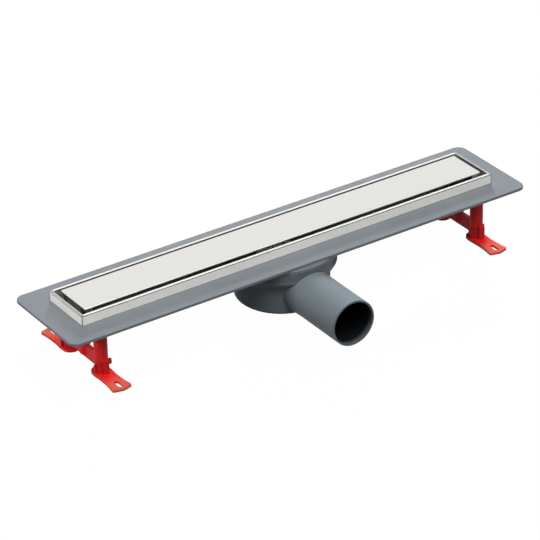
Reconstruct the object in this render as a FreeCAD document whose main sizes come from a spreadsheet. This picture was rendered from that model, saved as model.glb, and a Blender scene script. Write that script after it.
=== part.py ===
import FreeCAD, Part
import math
import os
import Sketcher

# Linear shower drain with a removable trap and levelling feet.
# The origin is the middle of the mounting flange's top face. X runs along the
# channel, the outlet pipe points along -Y, and Z is up.

doc = FreeCAD.newDocument("LinearShowerDrain")
sheet = doc.addObject("Spreadsheet::Sheet", "Sizes")

SIZES = {
    # Stainless frame and cover
    "frame_length": 503,
    "frame_width": 62,
    "frame_height": 11.6,
    "frame_wall": 2.8,
    "frame_edge_round": 0.7,
    "ledge_overhang": 2.5,
    "ledge_thickness": 1,
    "cover_end_gap": 5.7,
    "cover_side_gap": 5.2,
    "cover_thickness": 1.5,
    "cover_rise": 1.3,
    "cover_corner": 1.2,
    "cover_edge_round": 0.5,
    "support_sheet": 1,
    "support_length": 9,
    "support_inset": 0.8,
    "support_flap_width": 27,
    # Plastic channel: flange, gutter and outlet hole
    "flange_end_margin": 26.8,
    "flange_side_margin": 27,
    "flange_thickness": 3,
    "flange_corner": 10,
    "flange_edge_round": 0.6,
    "gutter_setback": 29.5,
    "gutter_side_setback": 8,
    "gutter_wall": 2.5,
    "gutter_end_depth": 8,
    "gutter_middle_depth": 12.5,
    "gutter_flat": 100,
    "gutter_corner": 4,
    "outlet_radius": 21,
    "collar_wall": 2.3,
    "collar_depth": 4,
    # Round shoulder moulded under the channel, and the seam to the trap
    "trap_offset": 6.5,
    "shoulder_radius": 56.4,
    "shoulder_wall": 2.5,
    "seam_depth": 16.1,
    "lip_reach": 0.9,
    "lip_thickness": 1.5,
    "gasket_height": 1.2,
    "gasket_width": 1.4,
    # Trap cup with its outlet pipe
    "cup_wall": 2.5,
    "cup_depth": 56.8,
    "cup_taper_width": 6.4,
    "cup_taper_height": 10,
    "cup_bottom_round": 4,
    "pipe_radius": 25,
    "pipe_wall": 2,
    "pipe_depth": 34.7,
    "pipe_reach": 134,
    "root_half_width": 28,
    "root_rise": 0.4,
    "root_reach": 66,
    "spigot_step": 0.15,
    # Removable trap insert, immersion tube and strainer
    "insert_wall": 1.5,
    "insert_floor_gap": 1.3,
    "insert_rim_overlap": 1.6,
    "insert_rim_height": 1.5,
    "insert_ledge_width": 2,
    "window_top_drop": 3.5,
    "window_height": 6.5,
    "window_width": 15,
    "tube_radius": 13,
    "tube_wall": 1.3,
    "tube_floor_gap": 6,
    "tube_rim_clearance": 0.3,
    "seal_width": 1.5,
    "seal_height": 1.5,
    "seal_bevel": 0.5,
    "seal_gap": 0.05,
    "seal_rib_height": 0.8,
    "strainer_inset": 2.2,
    "strainer_thickness": 1.2,
    "strainer_slot_width": 2,
    "strainer_slot_length": 7.5,
    "strainer_pitch_radius": 12.2,
    "strainer_grip_height": 8,
    "strainer_grip_width": 14,
    # Screws
    "frame_screw_inner": 80,
    "frame_screw_setback": 22.5,
    "frame_screw_radius": 1.3,
    "frame_screw_head_radius": 2.4,
    "frame_screw_head_height": 1.5,
    "frame_screw_wall_gap": 0.35,
    "frame_screw_length": 8,
    "screw_boss_radius": 3.4,
    "pilot_clearance": 0.05,
    "pilot_spare_depth": 0.5,
    "bracket_screw_radius": 1.9,
    "bracket_screw_head_radius": 3.6,
    "bracket_screw_head_height": 2.6,
    "bracket_screw_length": 18,
    # Foot brackets
    "post_spacing": 62,
    "post_radius": 7,
    "post_wall": 2,
    "post_gap": 1,
    "socket_wall": 1.9,
    "socket_height": 4,
    "socket_clearance": 0.1,
    "bar_thickness": 4,
    "bar_height": 14.8,
    "bar_floor_gap": 5.7,
    "boss_radius": 5.6,
    "boss_floor_gap": 8.4,
    "pillar_radius": 4,
    # Feet
    "floor_clearance": 0.3,
    "foot_plate_thickness": 3,
    "foot_collar_height": 13,
    "foot_heel_radius": 9.4,
    "foot_heel_offset": 2.4,
    "foot_tip_reach": 72.8,
    "foot_tip_point": 3,
    "foot_tip_half_width": 11.6,
    "foot_waist_half_width": 8.9,
    "foot_waist_reach": 47,
    "foot_waist_radius": 112,
    "foot_corner_round": 2.5,
    "foot_edge_round": 0.8,
    "foot_slot_margin": 3.9,
    "foot_slot_length": 12.6,
    "foot_slot_width": 5.2,
    "stem_clearance": 0.4,
    "stem_height": 30,
    "stem_rib": 2,
    "stem_ring_step": 6,
    "tongue_width": 6.5,
    "tongue_gap": 1,
    "tongue_thickness": 1.8,
    "tongue_rise": 4.5,
    "ear_reach": 3.2,
    "ear_thickness": 3,
    "ear_height": 5.4,
    "ear_drop": 1.6,
    "rib_reach": 2.1,
    "rib_drop": 3.7,
}


class Size:
    """A size of the sheet, or a sum or product of such sizes, that keeps its formula."""

    def __init__(self, text, value):
        self.text = text
        self.value = float(value)

    def joined(self, sign, other, value):
        return Size("(%s %s %s)" % (self.text, sign, as_size(other).text), value)

    def __add__(self, other):
        return self.joined("+", other, self.value + as_size(other).value)

    def __sub__(self, other):
        return self.joined("-", other, self.value - as_size(other).value)

    def __mul__(self, other):
        return self.joined("*", other, self.value * as_size(other).value)

    def __truediv__(self, other):
        return self.joined("/", other, self.value / as_size(other).value)

    def __neg__(self):
        return Size("(-1 * %s)" % self.text, -self.value)


def as_size(number):
    """Takes a plain number as it is."""
    if isinstance(number, Size):
        return number
    return Size("(%r)" % float(number), number)


class Sizes:
    """The sheet's cells by name."""


s = Sizes()
for row, (alias, number) in enumerate(SIZES.items(), start=1):
    sheet.set("A%d" % row, alias)
    sheet.set("B%d" % row, str(number))
    sheet.setAlias("B%d" % row, alias)
    setattr(s, alias, Size("Sizes.%s" % alias, number))
doc.recompute()

# Sizes that follow from the ones above
s.flange_length = s.frame_length + s.flange_end_margin * 2
s.flange_width = s.frame_width + s.flange_side_margin * 2
s.gutter_width = s.frame_width - s.gutter_side_setback * 2
s.ledge_width = s.gutter_side_setback - s.frame_wall + s.ledge_overhang
s.cover_length = s.frame_length - (s.frame_wall + s.cover_end_gap) * 2
s.cover_width = s.frame_width - (s.frame_wall + s.cover_side_gap) * 2
s.gutter_length = s.frame_length - s.gutter_setback * 2
s.lip_radius = s.shoulder_radius + s.lip_reach
s.cup_radius = s.shoulder_radius - s.cup_taper_width
s.insert_radius = s.outlet_radius - s.seal_width - s.seal_gap * 2
s.insert_rim_radius = s.outlet_radius + s.insert_rim_overlap
s.insert_depth = s.cup_depth - s.cup_wall - s.insert_floor_gap
s.strainer_radius = s.insert_rim_radius - s.strainer_inset
s.foot_spread = s.gutter_length / 2 + s.gutter_wall + s.post_gap + s.post_radius
s.foot_depth = s.pipe_depth + s.pipe_radius + s.floor_clearance
s.post_bottom_depth = s.foot_depth - s.foot_plate_thickness - s.foot_collar_height
s.bar_bottom_depth = s.foot_depth - s.bar_floor_gap
s.bar_top_depth = s.bar_bottom_depth - s.bar_height
s.boss_bottom_depth = s.foot_depth - s.boss_floor_gap

TURN_TO_Y = FreeCAD.Rotation(FreeCAD.Vector(1, 0, 0), -90)


def bind(thing, **sizes):
    """Binds properties of an object to sizes of the sheet."""
    for name, size in sizes.items():
        thing.setExpression(name, as_size(size).text)


def move(thing, x=0, y=0, z=0, turn=None):
    """Places an object, its position bound to the sheet."""
    thing.Placement = FreeCAD.Placement(FreeCAD.Vector(), turn or FreeCAD.Rotation())
    for axis, size in (("x", x), ("y", y), ("z", z)):
        thing.setExpression("Placement.Base.%s" % axis, as_size(size).text)
    return thing


def box(name, x_span, y_span, z_span):
    """A box between two sizes along each axis."""
    thing = doc.addObject("Part::Box", name)
    low = [as_size(span[0]) for span in (x_span, y_span, z_span)]
    high = [as_size(span[1]) for span in (x_span, y_span, z_span)]
    bind(thing, Length=high[0] - low[0], Width=high[1] - low[1], Height=high[2] - low[2])
    return move(thing, *low)


def cylinder(name, radius, z_span, x=0, y=0):
    """An upright cylinder between two heights."""
    thing = doc.addObject("Part::Cylinder", name)
    low, high = as_size(z_span[0]), as_size(z_span[1])
    bind(thing, Radius=radius, Height=high - low)
    return move(thing, x, y, low)


def cylinder_along_y(name, radius, y_span, x, z):
    """A level cylinder between two places along Y."""
    thing = doc.addObject("Part::Cylinder", name)
    low, high = as_size(y_span[0]), as_size(y_span[1])
    bind(thing, Radius=radius, Height=high - low)
    return move(thing, x, low, z, TURN_TO_Y)


def fuse(name, *pieces):
    """One solid from several."""
    thing = doc.addObject("Part::MultiFuse", name)
    thing.Shapes = list(pieces)
    thing.Refine = True
    return thing


def cut(name, base, *tools):
    """A solid less one or more others."""
    thing = doc.addObject("Part::Cut", name)
    thing.Base = base
    thing.Tool = tools[0] if len(tools) == 1 else fuse(name + "_tools", *tools)
    thing.Refine = True
    return thing


def common(name, first, second):
    """What two solids share."""
    thing = doc.addObject("Part::Common", name)
    thing.Base = first
    thing.Tool = second
    return thing


def mirror(name, source, normal):
    """A mirrored copy through the origin."""
    thing = doc.addObject("Part::Mirroring", name)
    thing.Source = source
    thing.Base = (0, 0, 0)
    thing.Normal = normal
    return thing


def body(name):
    """An empty part design body."""
    return doc.addObject("PartDesign::Body", name)


def sketch_on(part, plane, name, offset=0):
    """An empty sketch on one of a body's own planes."""
    sketch = part.newObject("Sketcher::SketchObject", name)
    planes = [feature for feature in part.Origin.OriginFeatures if feature.Role == plane]
    sketch.AttachmentSupport = [(planes[0], "")]
    sketch.MapMode = "FlatFace"
    sketch.setExpression("AttachmentOffset.Base.z", as_size(offset).text)
    return sketch


def outline(sketch, corners):
    """Joins corners in turn, each tied to the sheet. A corner is a pair of sizes, with a
    third for the radius where the way to the next corner is an arc. A positive radius
    bends it to the left, and a negative one to the right."""
    spots = [(as_size(corner[0]), as_size(corner[1])) for corner in corners]
    points = [FreeCAD.Vector(a.value, b.value, 0) for a, b in spots]
    count = len(corners)
    ends = []
    for k, corner in enumerate(corners):
        start, finish = points[k], points[(k + 1) % count]
        if len(corner) == 3:
            ends.append(add_arc(sketch, start, finish, corner[2]))
        else:
            ends.append((sketch.addGeometry(Part.LineSegment(start, finish)), 1, 2))
    for k in range(count):
        geometry, first, last = ends[k]
        following, following_first, following_last = ends[(k + 1) % count]
        sketch.addConstraint(
            Sketcher.Constraint("Coincident", geometry, last, following, following_first))
        for kind, size in zip(("DistanceX", "DistanceY"), spots[k]):
            tie(sketch, Sketcher.Constraint(kind, -1, 1, geometry, first, size.value), size.text)


def add_arc(sketch, start, finish, radius):
    """An arc between two points, with the number of its first and last end."""
    side = 1 if radius.value > 0 else -1
    chord = finish - start
    left = FreeCAD.Vector(-chord.y, chord.x, 0).normalize()
    rise = math.sqrt(radius.value ** 2 - (chord.Length / 2) ** 2)
    centre = start + chord * 0.5 + left * (side * rise)
    angles = [math.atan2(point.y - centre.y, point.x - centre.x) for point in (start, finish)]
    round_line = Part.Circle(centre, FreeCAD.Vector(0, 0, 1), abs(radius.value))
    geometry = sketch.addGeometry(Part.ArcOfCircle(round_line, *angles[::side]))
    rule = Sketcher.Constraint("Radius", geometry, abs(radius.value))
    tie(sketch, rule, "abs(%s)" % radius.text)
    return (geometry, 1, 2) if side > 0 else (geometry, 2, 1)


def tie(sketch, rule, text):
    """Adds a constraint and binds it to the sheet."""
    number = sketch.addConstraint(rule)
    sketch.setExpression("Constraints[%d]" % number, text)


def rectangle(sketch, length, width):
    """A rectangle about the sketch's origin."""
    half_x = as_size(length) / 2
    half_y = as_size(width) / 2
    outline(sketch, [(-half_x, -half_y), (half_x, -half_y), (half_x, half_y), (-half_x, half_y)])


def circle(sketch, radius, a=0, b=0):
    """A circle, its centre and radius tied to the sheet."""
    a, b, radius = as_size(a), as_size(b), as_size(radius)
    centre = FreeCAD.Vector(a.value, b.value, 0)
    geometry = sketch.addGeometry(Part.Circle(centre, FreeCAD.Vector(0, 0, 1), radius.value))
    rules = (
        (Sketcher.Constraint("DistanceX", -1, 1, geometry, 3, a.value), a),
        (Sketcher.Constraint("DistanceY", -1, 1, geometry, 3, b.value), b),
        (Sketcher.Constraint("Radius", geometry, radius.value), radius),
    )
    for rule, size in rules:
        tie(sketch, rule, size.text)


def pad(part, sketch, length, symmetric=False, name="pad"):
    """Thickens a sketch, upwards or to both sides."""
    feature = part.newObject("PartDesign::Pad", name)
    feature.Profile = sketch
    if symmetric:
        feature.SideType = "Symmetric"
    bind(feature, Length=length)
    doc.recompute()
    return feature


def pocket(part, sketch, length, symmetric=False, name="pocket"):
    """Cuts a sketch into the body, downwards or to both sides."""
    feature = part.newObject("PartDesign::Pocket", name)
    feature.Profile = sketch
    if symmetric:
        feature.SideType = "Symmetric"
    bind(feature, Length=length)
    doc.recompute()
    return feature


def revolve(part, sketch, name="turned"):
    """Turns a sketch once round the body's upright axis."""
    feature = part.newObject("PartDesign::Revolution", name)
    feature.Profile = sketch
    feature.ReferenceAxis = (sketch, ["V_Axis"])
    feature.Angle = 360
    doc.recompute()
    return feature


def edges_where(feature, test):
    """The names of a feature's edges whose middle and shape pass a test."""
    names = []
    for number, edge in enumerate(feature.Shape.Edges, start=1):
        if test(edge):
            names.append("Edge%d" % number)
    return names


def is_upright(edge):
    """True for a straight edge along Z."""
    box_of_edge = edge.BoundBox
    return box_of_edge.ZLength > 0.01 and box_of_edge.XLength + box_of_edge.YLength < 0.01


def is_level_at(height):
    """A test for edges that lie flat at one height."""
    def test(edge):
        box_of_edge = edge.BoundBox
        return box_of_edge.ZLength < 0.01 and abs(box_of_edge.ZMin - height) < 0.01
    return test


def round_edges(part, feature, radius, test, name="rounded"):
    """Rounds the chosen edges of a body."""
    rounded = part.newObject("PartDesign::Fillet", name)
    rounded.Base = (feature, edges_where(feature, test))
    bind(rounded, Radius=radius)
    doc.recompute()
    return rounded


def turned_body(name, corners, y=0):
    """A body of revolution about an upright axis, from radius and height pairs."""
    part = body(name)
    sketch = sketch_on(part, "XZ_Plane", name + "_profile")
    outline(sketch, corners)
    revolve(part, sketch)
    move(part, 0, y, 0)
    return part


# Heights that several pieces share
FLANGE_UNDERSIDE = -s.flange_thickness
GUTTER_FLOOR = -s.gutter_middle_depth
GUTTER_UNDERSIDE = -(s.gutter_middle_depth + s.gutter_wall)
SEAM = -s.seam_depth
TRAP_Y = -s.trap_offset
COVER_TOP = s.frame_height + s.cover_rise
COVER_UNDERSIDE = s.frame_height + s.cover_rise - s.cover_thickness
FOOT_SOLE = -s.foot_depth
FOOT_TOP = -(s.foot_depth - s.foot_plate_thickness)
POST_BOTTOM = -s.post_bottom_depth
POST_Y = s.post_spacing / 2
FRAME_SCREW_Y = (
    s.frame_width / 2 - s.frame_wall - s.frame_screw_head_radius - s.frame_screw_wall_gap)
BRACKET_SCREW_HEAD = -(s.bar_top_depth + s.boss_bottom_depth) / 2
FRAME_SCREW_X = [s.frame_screw_inner, s.foot_spread - s.frame_screw_setback]


# Channel body: one moulding of flange, gutter, outlet collar, round shoulder and bosses

def make_flange():
    part = body("flange_plate")
    sketch = sketch_on(part, "XY_Plane", "flange_outline", FLANGE_UNDERSIDE)
    rectangle(sketch, s.flange_length, s.flange_width)
    plate = pad(part, sketch, s.flange_thickness)
    plate = round_edges(part, plate, s.flange_corner, is_upright, "flange_corners")
    round_edges(part, plate, s.flange_edge_round, is_level_at(0), "flange_top_edge")
    return part


def gutter_profile(name, length, wall, top):
    """The gutter's side view, whose floor falls towards a flat middle."""
    part = body(name)
    sketch = sketch_on(part, "XZ_Plane", name + "_side")
    half = length / 2
    flat = s.gutter_flat / 2
    end_floor = -(s.gutter_end_depth + wall)
    middle_floor = -(s.gutter_middle_depth + wall)
    corners = [(-half, top), (-half, end_floor), (-flat, middle_floor)]
    corners += [(flat, middle_floor), (half, end_floor), (half, top)]
    outline(sketch, corners)
    return part, sketch


def make_gutter_shell():
    wall = s.gutter_wall
    part, sketch = gutter_profile("gutter_outside", s.gutter_length + wall * 2, wall, -1)
    outside = pad(part, sketch, s.gutter_width + wall * 2, symmetric=True)
    round_edges(part, outside, s.gutter_corner + wall, is_upright, "gutter_outside_corners")
    return part


def make_gutter_hollow():
    part, sketch = gutter_profile("gutter_inside", s.gutter_length, as_size(0), 1)
    inside = pad(part, sketch, s.gutter_width, symmetric=True)
    round_edges(part, inside, s.gutter_corner, is_upright, "gutter_inside_corners")
    return part


def make_channel_body(gutter_shell):
    flange = make_flange()
    lip_top = SEAM + s.lip_thickness
    shoulder = turned_body("shoulder_outside", [
        (0, FLANGE_UNDERSIDE),
        (s.shoulder_radius - s.flange_edge_round, FLANGE_UNDERSIDE),
        (s.shoulder_radius, FLANGE_UNDERSIDE - s.flange_edge_round),
        (s.shoulder_radius, lip_top),
        (s.lip_radius, lip_top),
        (s.lip_radius, SEAM),
        (0, SEAM),
    ], TRAP_Y)
    shoulder_room = cylinder(
        "shoulder_room", s.shoulder_radius - s.shoulder_wall,
        (SEAM - 1, FLANGE_UNDERSIDE - s.shoulder_wall), 0, TRAP_Y)
    shoulder_shell = cut("shoulder_shell", shoulder, shoulder_room)
    collar = cylinder(
        "outlet_collar", s.outlet_radius + s.collar_wall,
        (GUTTER_UNDERSIDE - s.collar_depth, GUTTER_FLOOR))
    solids = [flange, gutter_shell, shoulder_shell, collar]
    holes = [make_gutter_hollow()]
    holes.append(cylinder(
        "outlet_hole", s.outlet_radius, (GUTTER_UNDERSIDE - s.collar_depth - 1, 0)))
    holes.append(gasket_ring("gasket_groove_above"))
    screw_hole = s.frame_screw_radius + s.pilot_clearance
    for k, (x, y) in enumerate(frame_screw_places()):
        solids.append(cylinder(
            "screw_boss_%d" % k, s.screw_boss_radius,
            (s.ledge_thickness - s.frame_screw_length - s.gutter_wall, -1), x, y))
        holes.append(cylinder(
            "screw_pilot_%d" % k, screw_hole,
            (s.ledge_thickness - s.frame_screw_length - s.pilot_spare_depth, 1), x, y))
    for side in (-1, 1):
        x = s.foot_spread * side
        solids.append(cylinder(
            "pillar_%d" % side, s.pillar_radius, (-s.bar_top_depth, -1), x))
        holes.append(cylinder(
            "pillar_pilot_%d" % side, s.bracket_screw_radius + s.pilot_clearance,
            (-s.bar_top_depth - 1, bracket_screw_tip() + s.pilot_spare_depth), x))
        for end in (-1, 1):
            y = POST_Y * end
            socket_radius = s.post_radius + s.socket_clearance
            socket_bottom = FLANGE_UNDERSIDE - s.socket_height
            ring = cylinder(
                "socket_ring_%d_%d" % (side, end), socket_radius + s.socket_wall,
                (socket_bottom, -1), x, y)
            room = cylinder(
                "socket_room_%d_%d" % (side, end), socket_radius,
                (socket_bottom - 1, FLANGE_UNDERSIDE), x, y)
            solids.append(cut("socket_%d_%d" % (side, end), ring, room))
    outside = fuse("channel_outside", *solids)
    return cut("channel_body", outside, *holes)


def frame_screw_places():
    places = []
    for x in FRAME_SCREW_X:
        for side in (-1, 1):
            for end in (-1, 1):
                places.append((x * side, FRAME_SCREW_Y * end))
    return places


def gasket_ring(name):
    middle = (s.shoulder_radius - s.shoulder_wall + s.lip_radius) / 2
    outer = cylinder(
        name + "_outer", middle + s.gasket_width / 2,
        (SEAM - s.gasket_height / 2, SEAM + s.gasket_height / 2), 0, TRAP_Y)
    inner = cylinder(
        name + "_inner", middle - s.gasket_width / 2,
        (SEAM - s.gasket_height, SEAM + s.gasket_height), 0, TRAP_Y)
    return cut(name, outer, inner)


# Trap cup: a round cup moulded with its level outlet pipe

def cup_form(name, inset, floor, top):
    """The cup as a solid of revolution, whose side swells to the shoulder in an S-shaped curve."""
    radius = s.cup_radius - inset
    rim = SEAM - s.lip_thickness
    width, height = s.cup_taper_width, s.cup_taper_height
    bend = (width * width + height * height) / (width * 4)
    part = body(name)
    sketch = sketch_on(part, "XZ_Plane", name + "_profile")
    outline(sketch, [
        (0, floor),
        (radius, floor),
        (radius, rim - height, -bend),
        (radius + width / 2, rim - height / 2, bend),
        (radius + width, rim),
    ] + top)
    turned = revolve(part, sketch)
    round_edges(part, turned, s.cup_bottom_round, is_level_at(floor.value), name + "_bottom_edge")
    return move(part, 0, TRAP_Y, 0)


def make_trap_cup():
    outside_part = cup_form("cup_outside", as_size(0), -s.cup_depth, [
        (s.lip_radius, SEAM - s.lip_thickness),
        (s.lip_radius, SEAM),
        (0, SEAM),
    ])
    inside = cup_form("cup_inside", s.cup_wall, -(s.cup_depth - s.cup_wall), [
        (s.shoulder_radius - s.cup_wall, SEAM + 1),
        (0, SEAM + 1),
    ])

    pipe_z = -s.pipe_depth
    pipe_start = TRAP_Y - s.cup_radius + s.cup_wall * 2
    pipe = cylinder_along_y("pipe_outside", s.pipe_radius, (-s.pipe_reach, pipe_start), 0, pipe_z)
    bore = cylinder_along_y(
        "pipe_bore", s.pipe_radius - s.pipe_wall,
        (-(s.pipe_reach + 1), pipe_start + s.cup_wall), 0, pipe_z)
    shoulder_space = cylinder(
        "shoulder_space", s.lip_radius + s.seal_gap, (SEAM, SEAM + s.seam_depth), 0, TRAP_Y)
    end_wall = cylinder(
        "pipe_end_wall", s.lip_radius + s.pipe_wall,
        (SEAM - s.pipe_wall, SEAM + s.seam_depth), 0, TRAP_Y)
    outside = fuse("cup_and_pipe", outside_part, pipe, make_pipe_root())
    trimmed = cut("cup_trimmed", outside, shoulder_space)
    open_bore = cut("pipe_bore_below_wall", bore, end_wall)
    return cut("trap_cup", trimmed, inside, open_bore, gasket_ring("gasket_groove_below"))


def make_pipe_root():
    """The smooth widening where the pipe leaves the cup. It ends at the small step that stops
    the next pipe's socket."""
    sections = []
    start = s.trap_offset + s.cup_radius - s.cup_wall * 5
    run = s.root_reach - start
    extra = s.root_half_width - s.pipe_radius
    stations = (
        (0, extra, s.root_rise),
        (0.4, extra * 0.43, s.root_rise * 0.8),
        (0.7, extra * 0.13, s.root_rise * 0.6),
        (1, s.spigot_step, s.spigot_step),
    )
    for k, (share, wider, higher) in enumerate(stations):
        section = doc.addObject("Part::Ellipse", "root_section_%d" % k)
        bind(section, MajorRadius=s.pipe_radius + wider, MinorRadius=s.pipe_radius + higher)
        section.Angle1 = 0
        section.Angle2 = 360
        reach = start + run * share
        move(section, 0, -reach, -s.pipe_depth, FreeCAD.Rotation(FreeCAD.Vector(1, 0, 0), 90))
        sections.append(section)
    root = doc.addObject("Part::Loft", "pipe_root")
    root.Sections = sections
    root.Solid = True
    root.Ruled = False
    return root


# Stainless frame: a mitred and welded upstand with an inner ledge for the cover

def make_frame():
    part = body("frame_upstand")
    sketch = sketch_on(part, "XY_Plane", "frame_outline")
    rectangle(sketch, s.frame_length, s.frame_width)
    block = pad(part, sketch, s.frame_height)
    inner_sketch = sketch_on(part, "XY_Plane", "frame_inner_outline", s.frame_height)
    rectangle(inner_sketch, s.frame_length - s.frame_wall * 2, s.frame_width - s.frame_wall * 2)
    well = pocket(part, inner_sketch, s.frame_height - s.ledge_thickness)
    mouth_sketch = sketch_on(part, "XY_Plane", "frame_mouth_outline", s.ledge_thickness)
    inward = (s.frame_wall + s.ledge_width) * 2
    rectangle(mouth_sketch, s.frame_length - inward, s.frame_width - inward)
    opened = pocket(part, mouth_sketch, s.ledge_thickness, name="mouth")
    round_edges(part, opened, s.frame_edge_round, is_level_at(s.frame_height.value), "frame_top_edge")
    holes = []
    for k, (x, y) in enumerate(frame_screw_places()):
        radius = s.frame_screw_radius + s.pilot_clearance
        holes.append(cylinder("frame_hole_%d" % k, radius, (-1, s.ledge_thickness + 1), x, y))
    return cut("frame", part, *holes)


# Flat stainless cover and the folded supports welded under its two ends

def make_cover():
    part = body("cover_plate")
    sketch = sketch_on(part, "XY_Plane", "cover_outline", COVER_UNDERSIDE)
    rectangle(sketch, s.cover_length, s.cover_width)
    plate = pad(part, sketch, s.cover_thickness)
    plate = round_edges(part, plate, s.cover_corner, is_upright, "cover_corners")
    round_edges(part, plate, s.cover_edge_round, is_level_at(COVER_TOP.value), "cover_top_edge")
    return part


def make_cover_support():
    """A sheet folded down on three sides, with open corners."""
    sheet_metal = s.support_sheet
    outer_x = s.cover_length / 2 - s.support_inset
    inner_x = outer_x - s.support_length
    half_y = s.cover_width / 2 - s.support_inset
    web = box("support_web", (inner_x, outer_x), (-half_y, half_y),
              (COVER_UNDERSIDE - sheet_metal, COVER_UNDERSIDE))
    flap_half = s.support_flap_width / 2
    end_flap = box("support_end_flap", (outer_x - sheet_metal, outer_x),
                   (-flap_half, flap_half), (s.ledge_thickness, COVER_UNDERSIDE))
    corner_gap = sheet_metal * 1.5
    front_flap = box("support_front_flap", (inner_x, outer_x - corner_gap),
                     (-half_y, -half_y + sheet_metal), (s.ledge_thickness, COVER_UNDERSIDE))
    back_flap = box("support_back_flap", (inner_x, outer_x - corner_gap),
                    (half_y - sheet_metal, half_y), (s.ledge_thickness, COVER_UNDERSIDE))
    return fuse("cover_support_right", web, end_flap, front_flap, back_flap)


# Removable trap insert: water cup with windows, immersion tube, ring seal and strainer

def make_trap_insert():
    radius = s.insert_radius
    inner = radius - s.insert_wall
    rim_top = GUTTER_FLOOR + s.insert_rim_height
    seat = GUTTER_FLOOR - s.insert_wall
    seal_z = seal_height()
    rib = s.seal_rib_height
    upper_rib = seal_z + s.seal_height / 2 + s.seal_gap
    lower_rib = seal_z - s.seal_height / 2 - s.seal_gap
    rib_radius = s.outlet_radius - s.seal_gap * 4
    cup = turned_body("insert_cup", [
        (0, -s.insert_depth),
        (radius - s.insert_wall, -s.insert_depth),
        (radius, -(s.insert_depth - s.insert_wall)),
        (radius, lower_rib - rib),
        (rib_radius, lower_rib - rib),
        (rib_radius, lower_rib),
        (radius, lower_rib),
        (radius, upper_rib),
        (rib_radius, upper_rib),
        (rib_radius, GUTTER_FLOOR),
        (s.insert_rim_radius, GUTTER_FLOOR),
        (s.insert_rim_radius, rim_top),
        (inner, rim_top),
        (inner, seat),
        (inner - s.insert_ledge_width, seat),
        (inner - s.insert_ledge_width, seat - s.insert_wall),
        (inner, seat - s.insert_wall * 2),
        (inner, -(s.insert_depth - s.insert_wall)),
        (0, -(s.insert_depth - s.insert_wall)),
    ])
    half = s.window_width / 2
    window_top = GUTTER_UNDERSIDE - s.collar_depth / 2 - s.window_top_drop
    span_z = (window_top - s.window_height, window_top)
    along = box("windows_along", (-radius - 1, radius + 1), (-half, half), span_z)
    across = box("windows_across", (-half, half), (-radius - 1, radius + 1), span_z)
    return cut("trap_insert", cup, along, across)


def seal_height():
    """The ring seal sits halfway down the outlet collar."""
    return GUTTER_UNDERSIDE + s.gutter_wall / 2 - s.collar_depth / 2


def make_insert_seal():
    """A rubber ring with a bevelled rubbing face."""
    inner = s.insert_radius + s.seal_gap
    outer = inner + s.seal_width
    low = seal_height() - s.seal_height / 2
    high = seal_height() + s.seal_height / 2
    return turned_body("insert_seal", [
        (inner, low),
        (outer - s.seal_bevel, low),
        (outer, low + s.seal_bevel),
        (outer, high - s.seal_bevel),
        (outer - s.seal_bevel, high),
        (inner, high),
    ])


def make_immersion_tube():
    inner_seat = s.insert_radius - s.insert_wall
    seat = GUTTER_FLOOR - s.insert_wall
    rim = inner_seat - s.tube_rim_clearance
    wall = s.tube_wall
    funnel = inner_seat - s.insert_ledge_width - s.tube_rim_clearance
    bottom = -(s.insert_depth - s.insert_wall) + s.tube_floor_gap
    cone_low = seat - (funnel - s.tube_radius) * 2
    return turned_body("immersion_tube", [
        (s.tube_radius - wall, bottom),
        (s.tube_radius, bottom),
        (s.tube_radius, cone_low),
        (funnel, seat),
        (rim, seat),
        (rim, seat + wall),
        (funnel - wall, seat + wall),
        (s.tube_radius - wall, cone_low),
    ])


def make_strainer():
    """A slotted disc with a bridge to lift it by."""
    base = GUTTER_FLOOR + s.insert_rim_height
    top = base + s.strainer_thickness
    part = body("strainer_disc")
    sketch = sketch_on(part, "XY_Plane", "strainer_outline", base)
    circle(sketch, s.strainer_radius)
    disc = pad(part, sketch, s.strainer_thickness)
    round_edges(part, disc, s.strainer_thickness / 3, is_level_at(top.value), "strainer_edge")
    slots = []
    count = 14
    for k in range(count):
        turn = FreeCAD.Rotation(FreeCAD.Vector(0, 0, 1), 360.0 * k / count)
        slot = doc.addObject("Part::Box", "strainer_slot_%d" % k)
        bind(slot, Length=s.strainer_slot_length, Width=s.strainer_slot_width,
             Height=s.strainer_thickness + 2)
        start = s.strainer_pitch_radius - s.strainer_slot_length / 2
        local = turn.multVec(FreeCAD.Vector(1, 0, 0))
        side = turn.multVec(FreeCAD.Vector(0, 1, 0))
        half_width = s.strainer_slot_width / 2
        move(slot, start * local.x - half_width * side.x, start * local.y - half_width * side.y,
             base - 1, turn)
        slots.append(slot)
    centre_hole = cylinder("strainer_centre_hole", s.strainer_slot_width, (base - 1, top + 1))
    sieve = cut("strainer_sieve", part, centre_hole, *slots)
    half = s.strainer_grip_width / 2
    thick = s.strainer_thickness
    grip_top = top + s.strainer_grip_height
    bridge = box("grip_outside", (-half, half), (-thick, thick), (top - thick / 2, grip_top))
    finger_gap = box("grip_inside", (-half + thick, half - thick), (-thick - 1, thick + 1),
                     (top, grip_top - thick))
    grip = cut("grip_bridge", bridge, finger_gap)
    return fuse("hair_strainer", sieve, grip)


# Screws

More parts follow.
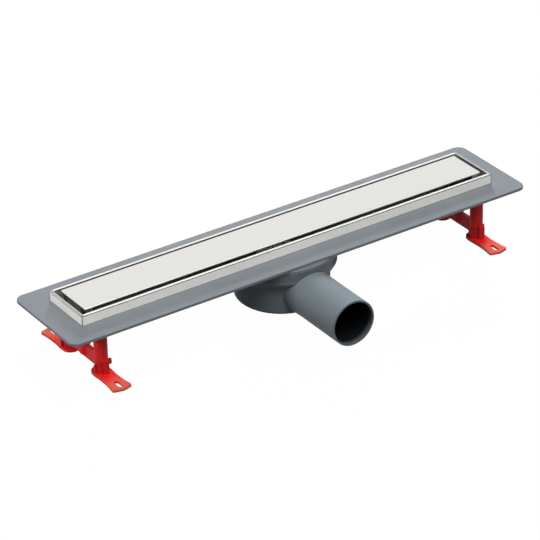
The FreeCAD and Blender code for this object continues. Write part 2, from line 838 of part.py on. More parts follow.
def screw(name, x, y, under_head, direction, radius, head_radius, head_height, length):
    """A pan-head screw with a cross recess. Direction is -1 when it points down."""
    tip = under_head + length * direction
    head_end = under_head - head_height * direction
    span = (tip, under_head) if direction < 0 else (under_head, tip)
    head_span = (under_head, head_end) if direction < 0 else (head_end, under_head)
    shank = cylinder(name + "_shank", radius, span, x, y)
    head = cylinder(name + "_head", head_radius, head_span, x, y)
    blank = fuse(name + "_blank", shank, head)
    recess_depth = head_height * 0.55
    recess_floor = head_end + recess_depth * direction
    recess_span = (recess_floor, head_end) if direction < 0 else (head_end, recess_floor)
    arm, thick = head_radius * 0.6, head_radius * 0.16
    x, y = as_size(x), as_size(y)
    bar_x = box(name + "_recess_x", (x - arm, x + arm), (y - thick, y + thick), recess_span)
    bar_y = box(name + "_recess_y", (x - thick, x + thick), (y - arm, y + arm), recess_span)
    return cut(name, blank, bar_x, bar_y)


def bracket_screw_tip():
    return BRACKET_SCREW_HEAD + s.bracket_screw_length


def make_frame_screws():
    screws = []
    for k, (x, y) in enumerate(frame_screw_places()):
        screws.append(screw(
            "frame_screw_%d" % k, x, y, s.ledge_thickness, -1, s.frame_screw_radius,
            s.frame_screw_head_radius, s.frame_screw_head_height, s.frame_screw_length))
    group = doc.addObject("Part::Compound", "frame_screws")
    group.Links = screws
    return group


def make_bracket_screws():
    screws = []
    for side in (-1, 1):
        screws.append(screw(
            "bracket_screw_%d" % (side + 1), s.foot_spread * side, 0, BRACKET_SCREW_HEAD, 1,
            s.bracket_screw_radius, s.bracket_screw_head_radius, s.bracket_screw_head_height,
            s.bracket_screw_length))
    group = doc.addObject("Part::Compound", "bracket_screws")
    group.Links = screws
    return group


# Foot bracket: a crossbar with a screw boss and a hollow post at each end, one moulding

def make_bracket():
    x = s.foot_spread
    half = s.bar_thickness / 2
    bar_end = POST_Y - s.post_radius - s.stem_clearance
    upper = box("bar_upper", (x - half, x + half), (-POST_Y, POST_Y), (POST_BOTTOM, -s.bar_top_depth))
    lower = box("bar_lower", (x - half, x + half), (-bar_end, bar_end),
                (-s.bar_bottom_depth, POST_BOTTOM))
    boss_part = body("bracket_boss")
    sketch = sketch_on(boss_part, "XY_Plane", "bracket_boss_outline", -s.boss_bottom_depth)
    circle(sketch, s.boss_radius)
    boss = pad(boss_part, sketch, s.boss_bottom_depth - s.bar_top_depth)
    round_edges(boss_part, boss, s.boss_radius / 4, is_level_at(-s.boss_bottom_depth.value))
    move(boss_part, x, 0, 0)
    solids = [upper, lower, boss_part]
    holes = [
        cylinder("boss_shank_hole", s.bracket_screw_radius + s.stem_clearance,
                 (-s.boss_bottom_depth - 1, -s.bar_top_depth + 1), x),
        cylinder("boss_head_hole", s.bracket_screw_head_radius + s.stem_clearance,
                 (-s.boss_bottom_depth - 1, BRACKET_SCREW_HEAD), x),
    ]
    for end in (-1, 1):
        y = POST_Y * end
        solids.append(cylinder("post_%d" % end, s.post_radius, (POST_BOTTOM, FLANGE_UNDERSIDE), x, y))
        holes.append(cylinder("post_bore_%d" % end, s.post_radius - s.post_wall,
                              (POST_BOTTOM - 1, FLANGE_UNDERSIDE - s.post_wall), x, y))
    return cut("foot_bracket_right", fuse("bracket_solid", *solids), *holes)


# Foot: a flared plate with a slot, a collar, a ribbed stem that slides in the post,
# and the latch tongue and ears round the collar, one moulding

def make_foot_plate():
    x = s.foot_spread
    part = body("foot_plate")
    heel_y = POST_Y - s.foot_heel_offset
    sketch = sketch_on(part, "XY_Plane", "foot_plate_outline", FOOT_SOLE)
    outline(sketch, [
        (-s.foot_heel_radius, -heel_y),
        (-s.foot_tip_half_width, -(s.foot_tip_reach - s.foot_tip_point)),
        (0, -s.foot_tip_reach),
        (s.foot_tip_half_width, -(s.foot_tip_reach - s.foot_tip_point)),
        (s.foot_heel_radius, -heel_y),
    ])
    pad(part, sketch, s.foot_plate_thickness)
    heel_sketch = sketch_on(part, "XY_Plane", "foot_heel_outline", FOOT_SOLE)
    circle(heel_sketch, s.foot_heel_radius, 0, -heel_y)
    pad(part, heel_sketch, s.foot_plate_thickness, name="heel")
    waist_sketch = sketch_on(part, "XY_Plane", "foot_waist_outline", FOOT_TOP)
    for side in (-1, 1):
        circle(waist_sketch, s.foot_waist_radius,
               (s.foot_waist_half_width + s.foot_waist_radius) * side, -s.foot_waist_reach)
    waisted = pocket(part, waist_sketch, s.foot_plate_thickness, name="waist")
    tip_y = -s.foot_waist_reach.value

    def at_tip(edge):
        return is_upright(edge) and edge.BoundBox.YMax < tip_y

    rounded = round_edges(part, waisted, s.foot_corner_round, at_tip, "foot_corners")
    rounded = round_edges(
        part, rounded, s.foot_edge_round, is_level_at(FOOT_TOP.value), "foot_top_edge")
    slot_sketch = sketch_on(part, "XY_Plane", "foot_slot_outline", FOOT_TOP)
    half = s.foot_slot_width / 2
    run = (s.foot_slot_length - s.foot_slot_width) / 2
    slot_y = -(s.foot_tip_reach - s.foot_slot_margin - s.foot_slot_length / 2)
    outline(slot_sketch, [
        (-half, slot_y - run), (half, slot_y - run),
        (half, slot_y + run), (-half, slot_y + run)])
    pocket(part, slot_sketch, s.foot_plate_thickness, name="slot")
    for end in (-1, 1):
        end_sketch = sketch_on(part, "XY_Plane", "foot_slot_end_%d" % (end + 1), FOOT_TOP)
        circle(end_sketch, half, 0, slot_y + run * end)
        pocket(part, end_sketch, s.foot_plate_thickness, name="slot_end")
    return move(part, x, 0, 0)


def make_foot():
    x = s.foot_spread
    y = -POST_Y
    plate = make_foot_plate()
    collar = cylinder("foot_collar", s.post_radius, (FOOT_TOP - 1, POST_BOTTOM), x, y)
    stem_radius = s.post_radius - s.post_wall - s.stem_clearance
    stem_top = POST_BOTTOM + s.stem_height
    round_stem = cylinder("stem_round", stem_radius, (POST_BOTTOM - 1, stem_top), x, y)
    half = s.stem_rib / 2
    rib_x = box("stem_rib_x", (x - stem_radius, x + stem_radius), (y - half, y + half),
                (POST_BOTTOM - 1, stem_top))
    rib_y = box("stem_rib_y", (x - half, x + half), (y - stem_radius, y + stem_radius),
                (POST_BOTTOM - 1, stem_top))
    pieces = [plate, collar, common("stem_cross", round_stem, fuse("stem_ribs", rib_x, rib_y))]
    for k in range(1, 6):
        ring_z = POST_BOTTOM + s.stem_ring_step * k
        pieces.append(cylinder("stem_ring_%d" % k, stem_radius, (ring_z - half, ring_z), x, y))
    tongue_y = y - s.post_radius - s.tongue_gap
    tongue_half = s.tongue_width / 2
    pieces.append(box(
        "foot_tongue", (x - tongue_half, x + tongue_half),
        (tongue_y - s.tongue_thickness, tongue_y), (FOOT_TOP - 1, POST_BOTTOM + s.tongue_rise)))
    ear_root = s.post_radius / 2
    ear_top = POST_BOTTOM - s.ear_drop
    pieces.append(box(
        "foot_ear", (x - s.post_radius - s.ear_reach, x - ear_root), (y - s.ear_thickness, y),
        (ear_top - s.ear_height, ear_top)))
    pieces.append(box(
        "foot_rib", (x + ear_root, x + s.post_radius + s.rib_reach), (y - s.ear_thickness, y),
        (FOOT_TOP - 1, POST_BOTTOM - s.rib_drop)))
    return fuse("foot_right_front", *pieces)


# The whole drain

ACROSS = (1, 0, 0)
ALONG = (0, 1, 0)
bracket_right = make_bracket()
foot_right_front = make_foot()
foot_left_front = mirror("foot_left_front", foot_right_front, ACROSS)
support_right = make_cover_support()
nodes = {
    "channel_body": make_channel_body(make_gutter_shell()),
    "trap_gasket": gasket_ring("trap_gasket"),
    "trap_cup": make_trap_cup(),
    "frame": make_frame(),
    "frame_screws": make_frame_screws(),
    "cover_plate": make_cover(),
    "cover_support_right": support_right,
    "cover_support_left": mirror("cover_support_left", support_right, ACROSS),
    "trap_insert": make_trap_insert(),
    "insert_seal": make_insert_seal(),
    "immersion_tube": make_immersion_tube(),
    "hair_strainer": make_strainer(),
    "foot_bracket_right": bracket_right,
    "foot_bracket_left": mirror("foot_bracket_left", bracket_right, ACROSS),
    "bracket_screws": make_bracket_screws(),
    "foot_right_front": foot_right_front,
    "foot_left_front": foot_left_front,
    "foot_right_rear": mirror("foot_right_rear", foot_right_front, ALONG),
    "foot_left_rear": mirror("foot_left_rear", foot_left_front, ALONG),
}
doc.recompute()

for thing in doc.Objects:
    if "Invalid" in thing.State or "Error" in thing.State:
        raise RuntimeError("%s didn't build" % thing.Name)
for name, node in nodes.items():
    node.Label = name
    if node.Shape.isNull() or not node.Shape.isValid():
        raise RuntimeError("%s has no valid shape" % name)

os.makedirs("parts", exist_ok=True)
for name, node in nodes.items():
    node.Shape.exportStep("parts/%s.step" % name)
    extent = node.Shape.BoundBox
    print("%-20s solids %d  volume %9.1f  z %.2f to %.2f" % (
        name, len(node.Shape.Solids), node.Shape.Volume, extent.ZMin, extent.ZMax))
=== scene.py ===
import math

import bpy
from mathutils import Matrix, Vector


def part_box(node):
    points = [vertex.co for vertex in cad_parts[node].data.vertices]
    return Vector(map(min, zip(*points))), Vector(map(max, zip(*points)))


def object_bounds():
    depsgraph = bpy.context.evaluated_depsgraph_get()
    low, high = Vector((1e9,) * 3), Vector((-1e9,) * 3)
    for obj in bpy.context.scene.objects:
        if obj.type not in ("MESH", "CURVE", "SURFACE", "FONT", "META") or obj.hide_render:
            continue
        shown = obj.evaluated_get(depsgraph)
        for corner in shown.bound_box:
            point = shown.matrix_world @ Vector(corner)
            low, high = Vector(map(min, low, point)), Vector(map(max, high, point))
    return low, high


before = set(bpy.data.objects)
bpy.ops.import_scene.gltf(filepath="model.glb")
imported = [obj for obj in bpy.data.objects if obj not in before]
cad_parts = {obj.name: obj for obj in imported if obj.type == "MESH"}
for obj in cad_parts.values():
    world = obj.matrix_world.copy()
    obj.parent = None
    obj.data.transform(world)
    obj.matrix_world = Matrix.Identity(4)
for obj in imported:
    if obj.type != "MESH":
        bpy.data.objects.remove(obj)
CAD_BOX = [list(corner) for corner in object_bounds()]

# Channel body: the wide flange, gutter, round shoulder and post sockets are one
# injection moulding in dark blue-grey plastic. Its skin has the fine even grain
# of a spark-eroded mould and soft flow marks. Shade is painted on everything
# below the flange as a darker base colour.

NOISE_LOW, NOISE_HIGH = 0.3, 0.7  # most of a noise pattern lies between these
FAR = 1.0                         # beyond every point of the drain, in metres


def shader_of(material):
    return material.node_tree.nodes["Principled BSDF"]


def new_material(name):
    """A material with a Principled shader and Object coordinates to build on."""
    material = bpy.data.materials.new(name)
    material.use_nodes = True
    place = material.node_tree.nodes.new("ShaderNodeTexCoord")
    return material, shader_of(material), place.outputs["Object"]


def join(owner, source, target):
    """Links two sockets in a material's or a world's node tree."""
    owner.node_tree.links.new(source, target)


def noise(material, vector, scale, detail, roughness=0.5):
    """A soft noise pattern; scale is in patches per metre."""
    texture = material.node_tree.nodes.new("ShaderNodeTexNoise")
    texture.inputs["Scale"].default_value = scale
    texture.inputs["Detail"].default_value = detail
    texture.inputs["Roughness"].default_value = roughness
    join(material, vector, texture.inputs["Vector"])
    return texture.outputs["Fac"]


def ramp(material, source, stops):
    """Colours at places from 0 to 1 along a value."""
    node = material.node_tree.nodes.new("ShaderNodeValToRGB")
    elements = node.color_ramp.elements
    while len(elements) < len(stops):
        elements.new(0.5)
    for element, (place, colour) in zip(elements, stops):
        element.position = place
        element.color = (*colour, 1.0)
    join(material, source, node.inputs["Fac"])
    return node.outputs["Color"]


def spread(owner, value, start, end, low=0.0, high=1.0):
    """Goes from low to high while a value goes from start to end."""
    node = owner.node_tree.nodes.new("ShaderNodeMapRange")
    node.inputs["From Min"].default_value = start
    node.inputs["From Max"].default_value = end
    node.inputs["To Min"].default_value = low
    node.inputs["To Max"].default_value = high
    join(owner, value, node.inputs["Value"])
    return node.outputs["Result"]


def bump(material, height, strength, depth):
    """Raises the surface by a pattern, in the shading alone."""
    node = material.node_tree.nodes.new("ShaderNodeBump")
    node.inputs["Strength"].default_value = strength
    node.inputs["Distance"].default_value = depth
    join(material, height, node.inputs["Height"])
    join(material, node.outputs["Normal"], shader_of(material).inputs["Normal"])


def shade(colour, factor):
    return tuple(channel * factor for channel in colour)


def moulded_plastic(name, colour, grain, roughness, sheen=0.25):
    """Moulded plastic: slow changes of tone, fine grain and an uneven satin gloss."""
    flow_scale, flow_detail, flow_contrast = 14.0, 4.0, 0.07
    gloss_scale, gloss_detail, glossier, duller = 60.0, 2.0, 0.03, 0.04
    grain_detail, grain_strength, grain_depth = 2.0, 0.25, 0.00008
    material, shader, place = new_material(name)
    flow = noise(material, place, flow_scale, flow_detail)
    join(material, ramp(material, flow, [
        (0.30, shade(colour, 1.0 - flow_contrast)),
        (0.55, colour),
        (0.75, shade(colour, 1.0 + flow_contrast)),
    ]), shader.inputs["Base Color"])
    gloss = noise(material, place, gloss_scale, gloss_detail)
    join(material, spread(material, gloss, NOISE_LOW, NOISE_HIGH,
                          roughness - glossier, roughness + duller),
         shader.inputs["Roughness"])
    skin = noise(material, place, grain, grain_detail)
    bump(material, skin, grain_strength, grain_depth)
    shader.inputs["Specular IOR Level"].default_value = sheen
    return material


def calculate(owner, operation, *values):
    """The result of a Math node whose inputs are sockets or plain numbers."""
    node = owner.node_tree.nodes.new("ShaderNodeMath")
    node.operation = operation
    for value, target in zip(values, node.inputs):
        if isinstance(value, float):
            target.default_value = value
        else:
            join(owner, value, target)
    return node.outputs["Value"]


def axis_of(material, axis):
    """X, Y or Z of a material's Object coordinates, in metres."""
    nodes = material.node_tree.nodes
    parts = nodes.new("ShaderNodeSeparateXYZ")
    join(material, nodes["Texture Coordinate"].outputs["Object"], parts.inputs["Vector"])
    return parts.outputs[axis]


def between(material, value, low, high):
    """1 where a value lies between two limits, and 0 elsewhere."""
    return calculate(material, "COMPARE", value, (low + high) / 2, (high - low) / 2)


def below(material, value, high):
    return between(material, value, -FAR, high)


def colour_where(material, mask, colour, blend_type="MIX"):
    """Mixes another colour into the base colour where a mask is 1."""
    base = shader_of(material).inputs["Base Color"]
    mixed = material.node_tree.nodes.new("ShaderNodeMix")
    mixed.data_type = "RGBA"
    mixed.blend_type = blend_type
    mixed.inputs["B"].default_value = (*colour, 1.0)
    join(material, base.links[0].from_socket, mixed.inputs["A"])
    join(material, mask, mixed.inputs["Factor"])
    join(material, mixed.outputs["Result"], base)


def shade_where(material, mask, factor):
    """Multiplies the base colour by a factor where a mask is 1."""
    colour_where(material, mask, (factor, factor, factor), "MULTIPLY")


def dress(node_name, material):
    """Gives a CAD node its finish."""
    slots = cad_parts[node_name].data.materials
    slots.clear()
    slots.append(material)


CHANNEL_GREY = (0.180, 0.201, 0.221)
UNDERSIDE = -0.006
# Painted shade: the base colour is darker below the flange.
UNDERSIDE_PAINTED_SHADE = 0.72
channel_plastic = moulded_plastic("channel_plastic", CHANNEL_GREY, grain=1400.0,
                                  roughness=0.42, sheen=0.35)
height = axis_of(channel_plastic, "Z")
shade_where(channel_plastic, below(channel_plastic, height, UNDERSIDE), UNDERSIDE_PAINTED_SHADE)
dress("channel_body", channel_plastic)

# Trap cup: the round cup and its level outlet pipe are one moulding of the same
# plastic, bonded to the shoulder over a flat rubber gasket. It is a little
# smoother than the flange, and shade is painted in the pipe's bore: its colour
# goes to black a few millimetres in.


def all_of(material, first, *others):
    """1 where every mask is 1."""
    for mask in others:
        first = calculate(material, "MULTIPLY", first, mask)
    return first


def distance_from_level_axis(material, axis_height):
    """How far a point lies from an axis along Y at a height."""
    nodes = material.node_tree.nodes
    across = nodes.new("ShaderNodeCombineXYZ")
    join(material, axis_of(material, "X"), across.inputs["X"])
    join(material, calculate(material, "SUBTRACT", axis_of(material, "Z"), axis_height),
         across.inputs["Z"])
    distance = nodes.new("ShaderNodeVectorMath")
    distance.operation = "LENGTH"
    join(material, across.outputs["Vector"], distance.inputs[0])
    return distance.outputs["Value"]


CUP_GREY = (0.200, 0.236, 0.258)
PIPE_AXIS = -0.0347
BORE_EDGE = 0.0236
BORE_END = -0.040
# Painted shade: the bore's colour goes to black a few millimetres in.
PAINTED_BORE_SHADE = (0.004, 0.005, 0.006)
BORE_SHADE_STRENGTH = 0.97
BORE_SHADE_FADE = 0.010
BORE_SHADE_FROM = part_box("trap_cup")[0][1] - 0.003
BORE_SHADE_FULLY = BORE_SHADE_FROM + BORE_SHADE_FADE
cup_plastic = moulded_plastic("cup_plastic", CUP_GREY, grain=900.0,
                              roughness=0.40, sheen=0.04)
from_axis = distance_from_level_axis(cup_plastic, PIPE_AXIS)
inwards = axis_of(cup_plastic, "Y")
painted_bore_shade = all_of(cup_plastic,
              calculate(cup_plastic, "LESS_THAN", from_axis, BORE_EDGE),
              calculate(cup_plastic, "LESS_THAN", inwards, BORE_END),
              spread(cup_plastic, inwards, BORE_SHADE_FROM, BORE_SHADE_FULLY, 0.0, BORE_SHADE_STRENGTH))
colour_where(cup_plastic, painted_bore_shade, PAINTED_BORE_SHADE)
dress("trap_cup", cup_plastic)

# Gasket and insert seal: a flat ring cut from black rubber, which lies in the seam
# under the shoulder, and a moulded rubber ring in the trap insert's groove.

BLACK_RUBBER = (0.018, 0.018, 0.019)
rubber = moulded_plastic("black_rubber", BLACK_RUBBER, grain=700.0, roughness=0.62)
dress("trap_gasket", rubber)
dress("insert_seal", rubber)

# Frame: stainless strip, folded to an upstand with an inner ledge, mitred and
# welded at the four corners and ground to a fine satin along its length. Thin dark
# lines mark its mitres. Shade is painted in the well inside the upstand, as a thin
# dark line under its rim and as a dark line along its foot, and the top of the rim
# is painted darker, most at its ends.

ALONG_X = (12.0, 900.0, 900.0)


def stretched(material, vector, scale):
    """Object coordinates scaled by a different factor along each axis."""
    mapping = material.node_tree.nodes.new("ShaderNodeMapping")
    mapping.inputs["Scale"].default_value = scale
    join(material, vector, mapping.inputs["Vector"])
    return mapping.outputs["Vector"]


def ground_steel(name, colour, grain_scale, grain_depth, roughness,
                 contrast=0.04, metallic=1.0):
    """Stainless steel with a fine grain from grinding, drawn out along one axis."""
    grain_detail, grain_roughness, grain_strength = 6.0, 0.6, 0.12
    cloud_scale, cloud_detail, cloud_change = 9.0, 3.0, 0.03
    material, shader, place = new_material(name)
    shader.inputs["Metallic"].default_value = metallic
    grain = noise(material, stretched(material, place, grain_scale), scale=1.0,
                  detail=grain_detail, roughness=grain_roughness)
    join(material, ramp(material, grain, [
        (0.25, shade(colour, 1.0 - contrast)),
        (0.75, shade(colour, 1.0 + contrast)),
    ]), shader.inputs["Base Color"])
    cloud = noise(material, place, cloud_scale, cloud_detail)
    join(material, spread(material, cloud, NOISE_LOW, NOISE_HIGH,
                          roughness - cloud_change, roughness + cloud_change),
         shader.inputs["Roughness"])
    bump(material, grain, grain_strength, grain_depth)
    return material


def side_of(material, axis):
    """X or Y with its sign dropped, so that both sides of the drain are alike."""
    return calculate(material, "ABSOLUTE", axis_of(material, axis))


def above(material, value, low):
    return between(material, value, low, FAR)


FRAME_STEEL = (0.96, 0.95, 0.90)
HALF_LENGTH, HALF_WIDTH, FRAME_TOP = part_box("frame")[1]
WALL = 0.0028
WELL_MARGIN = 0.0001
WELL_TOP = FRAME_TOP - 0.0004
# Painted shade in the well inside the upstand.
WELL_PAINTED_SHADE = 0.35
# A painted dark line under the rim, for the shade under its rounded top edge.
RIM_LINE_LOW = FRAME_TOP - 0.0016
RIM_LINE_HIGH = FRAME_TOP - 0.0005
# A painted shadow along the frame's foot.
FOOT_LINE_HIGH = 0.0005
FOOT_PAINTED_SHADOW = 0.35
MITRE_WIDTH = 0.0007
# Dark line: real at the mitres' welded joints, painted shade under the rim.
JOINT_AND_PAINTED_SHADE_LINE = 0.2
# Painted shade dims the top of the rim, more at its ends.
RIM_LOW = FRAME_TOP - 0.0003
END_RIM_PAINTED_SHADE = 0.5
RIM_PAINTED_SHADE = 0.82
frame_steel = ground_steel("frame_steel", FRAME_STEEL, ALONG_X, grain_depth=0.00002,
                           roughness=0.48, metallic=0.4)
along = side_of(frame_steel, "X")
across = side_of(frame_steel, "Y")
height = axis_of(frame_steel, "Z")
well = all_of(frame_steel,
              below(frame_steel, along, HALF_LENGTH - WALL + WELL_MARGIN),
              below(frame_steel, across, HALF_WIDTH - WALL + WELL_MARGIN),
              below(frame_steel, height, WELL_TOP))
painted_rim_shade_line = between(frame_steel, height, RIM_LINE_LOW, RIM_LINE_HIGH)
painted_foot_shadow = below(frame_steel, height, FOOT_LINE_HIGH)
mitre = all_of(frame_steel,
               above(frame_steel, along, HALF_LENGTH - MITRE_WIDTH),
               above(frame_steel, across, HALF_WIDTH - MITRE_WIDTH))
rim = above(frame_steel, height, RIM_LOW)
end_rim = all_of(frame_steel, rim, above(frame_steel, along, HALF_LENGTH - WALL))
for mask, factor in (
    (well, WELL_PAINTED_SHADE),
    (painted_rim_shade_line, JOINT_AND_PAINTED_SHADE_LINE),
    (painted_foot_shadow, FOOT_PAINTED_SHADOW),
    (mitre, JOINT_AND_PAINTED_SHADE_LINE),
    (end_rim, END_RIM_PAINTED_SHADE),
    (rim, RIM_PAINTED_SHADE),
):
    shade_where(frame_steel, mask, factor)
dress("frame", frame_steel)

# Screws: eight pan-head screws hold the frame to the flange, and one at each end
# holds a foot bracket. They are stainless steel, cold headed and left bright.

SCREW_STEEL = (0.55, 0.55, 0.54)
ALL_WAYS = (500.0, 500.0, 500.0)
screw_steel = ground_steel("screw_steel", SCREW_STEEL, ALL_WAYS, grain_depth=0.00001,
                           roughness=0.28)
dress("frame_screws", screw_steel)
dress("bracket_screws", screw_steel)

# Cover: a flat stainless plate with softly broken edges, ground very finely along
# its length. It lies in the frame and lifts out.

COVER_STEEL = (0.82, 0.815, 0.79)
cover_steel = ground_steel("cover_steel", COVER_STEEL, ALONG_X, grain_depth=0.000006,
                           roughness=0.36, contrast=0.015)
dress("cover_plate", cover_steel)

# Cover supports: folded stainless strip, welded under each end of the cover. The
# fold that faces the frame's end lies in the gap, and shade is painted on it as a
# darker colour.

SUPPORT_STEEL = (0.66, 0.66, 0.65)
ALONG_Y = (900.0, 12.0, 900.0)
OUTER_FOLD = 0.2415
# Painted shade on the fold that lies in the gap.
OUTER_FOLD_PAINTED_SHADE = 0.6
support_steel = ground_steel("support_steel", SUPPORT_STEEL, ALONG_Y, grain_depth=0.00002,
                             roughness=0.33)
along = side_of(support_steel, "X")
shade_where(support_steel, above(support_steel, along, OUTER_FOLD), OUTER_FOLD_PAINTED_SHADE)
dress("cover_support_left", support_steel)
dress("cover_support_right", support_steel)

# Trap insert and immersion tube: pale moulded plastic. They stand in the cup, make
# the water seal and lift out through the gutter for cleaning.

INSERT_WHITE = (0.62, 0.62, 0.60)
insert_plastic = moulded_plastic("insert_plastic", INSERT_WHITE, grain=1100.0,
                                 roughness=0.40)
dress("trap_insert", insert_plastic)
dress("immersion_tube", insert_plastic)

# Hair strainer: a sieve punched and pressed from thin stainless sheet. It rests over
# the immersion tube and lifts out to be emptied.

SIEVE_STEEL = (0.38, 0.38, 0.37)
sieve_steel = ground_steel("sieve_steel", SIEVE_STEEL, ALONG_Y, grain_depth=0.00002,
                           roughness=0.40)
dress("hair_strainer", sieve_steel)

# Foot brackets: each is a crossbar with a screw boss and two hollow posts, one
# moulding of red glass-filled plastic, screwed under the flange.

SIGNAL_RED = (0.93, 0.022, 0.023)
red_plastic = moulded_plastic("red_plastic", SIGNAL_RED, grain=1000.0,
                              roughness=0.40, sheen=0.2)
dress("foot_bracket_left", red_plastic)
dress("foot_bracket_right", red_plastic)

# Feet: the same red plastic, each sliding in its post. A pale highlight is painted
# on the flat plates towards their tips, and shade is painted on the collar, darkest
# in a thin line at the seam under the post.

# A painted highlight, paler towards the plates' tips.
PAINTED_HIGHLIGHT_RED = (0.80, 0.125, 0.080)
PLATE_TOP = -0.0568
HIGHLIGHT_FROM = 0.046
HIGHLIGHT_FULLY = 0.060
SEAM_LOW = -0.0446
SEAM_HIGH = -0.0439
# Painted shade on the collar, darkest in a thin line at the seam under the post.
COLLAR_PAINTED_SHADE = 0.72
SEAM_PAINTED_SHADE = 0.4
foot_plastic = moulded_plastic("foot_plastic", SIGNAL_RED, grain=1000.0,
                               roughness=0.40, sheen=0.2)
across = side_of(foot_plastic, "Y")
height = axis_of(foot_plastic, "Z")
collar = between(foot_plastic, height, PLATE_TOP, SEAM_HIGH)
seam = between(foot_plastic, height, SEAM_LOW, SEAM_HIGH)
shade_where(foot_plastic, collar, COLLAR_PAINTED_SHADE)
shade_where(foot_plastic, seam, SEAM_PAINTED_SHADE)
painted_plate_highlight = all_of(foot_plastic,
                   below(foot_plastic, height, PLATE_TOP),
                   spread(foot_plastic, across, HIGHLIGHT_FROM, HIGHLIGHT_FULLY))
colour_where(foot_plastic, painted_plate_highlight, PAINTED_HIGHLIGHT_RED)
for foot in ("foot_left_front", "foot_left_rear", "foot_right_front", "foot_right_rear"):
    dress(foot, foot_plastic)

# Floor: a plain white studio floor, low enough for the feet to slide all the way
# down. The camera and reflections see it nearly white, and it keeps a faint shadow.

WHITE = (1.0, 1.0, 1.0, 1.0)
FLOOR_GREY = (0.15, 0.15, 0.15)
FLOOR_SIZE = 60.0
FLOOR_ROUGHNESS = 0.9
FLOOR_GLOW = 1.115
FLOOR_MIRRORED = 0.42
SHADOW_SHARE = 0.12
MOTTLE_SCALE, MOTTLE_DETAIL, MOTTLE_SHADE = 3.0, 2.0, 0.98
FOOT_TRAVEL = 0.020
FLOOR_GAP = 0.0002
floor_height = CAD_BOX[0][2] - FOOT_TRAVEL - FLOOR_GAP
bpy.ops.object.select_all(action="DESELECT")
bpy.ops.mesh.primitive_plane_add(size=FLOOR_SIZE, location=(0.0, 0.0, floor_height))
floor = bpy.context.object
floor.name = "studio_floor"
floor_paint, floor_shader, floor_place = new_material("studio_floor_paint")
mottle = noise(floor_paint, floor_place, MOTTLE_SCALE, MOTTLE_DETAIL)
join(floor_paint, ramp(floor_paint, mottle, [
    (0.0, shade(FLOOR_GREY, MOTTLE_SHADE)),
    (1.0, FLOOR_GREY),
]), floor_shader.inputs["Base Color"])
floor_shader.inputs["Roughness"].default_value = FLOOR_ROUGHNESS
floor_shader.inputs["Specular IOR Level"].default_value = 0.0


def seen_rays(owner, mirrored=1.0):
    """1 for camera and transmission rays, mirrored for glossy rays, 0 for the rest."""
    light_path = owner.node_tree.nodes.new("ShaderNodeLightPath")
    value = light_path.outputs["Is Camera Ray"]
    for ray, strength in (("Is Glossy Ray", mirrored), ("Is Transmission Ray", 1.0)):
        part = calculate(owner, "MULTIPLY", light_path.outputs[ray], strength)
        value = calculate(owner, "MAXIMUM", value, part)
    return value


def show_mix(owner, share, first, second, output):
    """Shows a second shader in place of a first one, by a share from 0 to 1."""
    nodes = owner.node_tree.nodes
    mixed = nodes.new("ShaderNodeMixShader")
    join(owner, share, mixed.inputs["Fac"])
    join(owner, first, mixed.inputs[1])
    join(owner, second, mixed.inputs[2])
    join(owner, mixed.outputs["Shader"], nodes[output].inputs["Surface"])


glow = floor_paint.node_tree.nodes.new("ShaderNodeEmission")
glow.inputs["Color"].default_value = WHITE
glow.inputs["Strength"].default_value = FLOOR_GLOW
glow_share = calculate(floor_paint, "MULTIPLY", seen_rays(floor_paint, FLOOR_MIRRORED),
                       1.0 - SHADOW_SHARE)
show_mix(floor_paint, glow_share, floor_shader.outputs["BSDF"], glow.outputs["Emission"],
         "Material Output")
floor.data.materials.append(floor_paint)

# Light: a white room, brightest overhead, and three soft lamps: above the front, behind
# on the right and on the left. Nothing mirrors the lamps. Steel and gloss mirror the
# room and two pale cards, in front and at the left end, which light nothing else.

FILL_AT_HORIZON = 0.03
FILL_OVERHEAD = 0.34
world = bpy.data.worlds.new("white_room")
bpy.context.scene.world = world
world.use_nodes = True
world_nodes = world.node_tree.nodes
room = world_nodes["Background"]
room.inputs["Color"].default_value = WHITE
direction = world_nodes.new("ShaderNodeTexCoord")
heights = world_nodes.new("ShaderNodeSeparateXYZ")
join(world, direction.outputs["Generated"], heights.inputs["Vector"])
join(world, spread(world, heights.outputs["Z"], 0.0, 1.0, FILL_AT_HORIZON, FILL_OVERHEAD),
     room.inputs["Strength"])
backdrop = world_nodes.new("ShaderNodeBackground")
backdrop.inputs["Color"].default_value = WHITE
backdrop.inputs["Strength"].default_value = 1.0
show_mix(world, seen_rays(world), room.outputs["Background"],
         backdrop.outputs["Background"], "World Output")


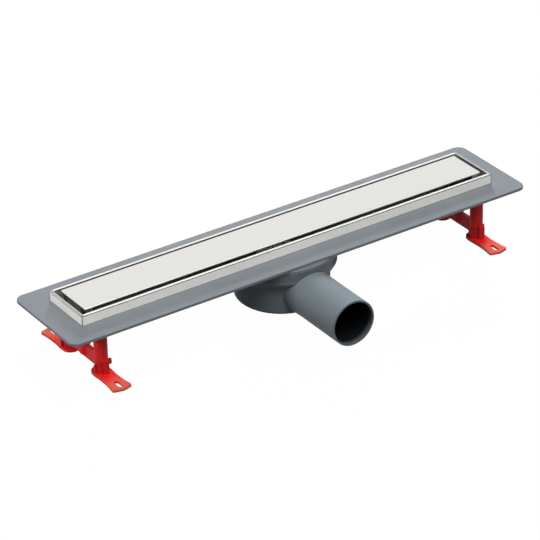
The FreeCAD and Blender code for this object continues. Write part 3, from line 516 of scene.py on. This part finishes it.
def soft_light(name, place, size, power, aim=(0.0, 0.0, 0.0)):
    """A square area light that faces a point."""
    lamp = bpy.data.lights.new(name, "AREA")
    lamp.shape = "SQUARE"
    lamp.size = size
    lamp.energy = power
    holder = bpy.data.objects.new(name, lamp)
    bpy.context.scene.collection.objects.link(holder)
    holder.location = place
    facing = Vector(aim) - Vector(place)
    holder.rotation_euler = facing.to_track_quat("-Z", "Y").to_euler()
    return holder


key_lamp = soft_light("key_lamp", place=(0.0, -0.95, 1.85), size=1.2, power=28.0)
rear_lamp = soft_light("rear_lamp", place=(1.1, 1.7, 0.9), size=0.7, power=60.0)
left_lamp = soft_light("left_lamp", place=(-2.0, 0.0, 0.8), size=0.4, power=14.5,
                       aim=(-0.2, 0.0, 0.0))
for lamp in (key_lamp, rear_lamp, left_lamp):
    lamp.visible_glossy = False
front_card = soft_light("front_card", place=(0.0, -1.9, 0.25), size=1.6, power=38.0)
end_card = soft_light("end_card", place=(-1.9, 0.5, 0.25), size=1.6, power=36.0)
for card in (front_card, end_card):
    card.visible_diffuse = False

# Camera: a long lens from the front left and above, as in the photograph, turned a
# little about the direction that it looks in.

EYE = Vector((-1.5254, -2.2944, 1.5283))
YAW = math.radians(33.444)
PITCH = math.radians(29.568)
ROLL = math.radians(-1.343)
LENS_MM = 205.3
SENSOR_MM = 36.0
CLIP_END = 200.0
ahead = Vector((
    math.sin(YAW) * math.cos(PITCH),
    math.cos(YAW) * math.cos(PITCH),
    -math.sin(PITCH),
))
level_right = Vector((math.cos(YAW), -math.sin(YAW), 0.0))
level_up = level_right.cross(ahead)
right = level_right * math.cos(ROLL) + level_up * math.sin(ROLL)
up = level_up * math.cos(ROLL) - level_right * math.sin(ROLL)
camera_data = bpy.data.cameras.new("camera")
camera_data.lens = LENS_MM
camera_data.sensor_width = SENSOR_MM
camera_data.clip_end = CLIP_END
camera = bpy.data.objects.new("camera", camera_data)
bpy.context.scene.collection.objects.link(camera)
camera.matrix_world = Matrix((
    (right.x, up.x, -ahead.x, EYE.x),
    (right.y, up.y, -ahead.y, EYE.y),
    (right.z, up.z, -ahead.z, EYE.z),
    (0.0, 0.0, 0.0, 1.0),
))
bpy.context.scene.camera = camera
bpy.context.scene.view_settings.view_transform = "Standard"
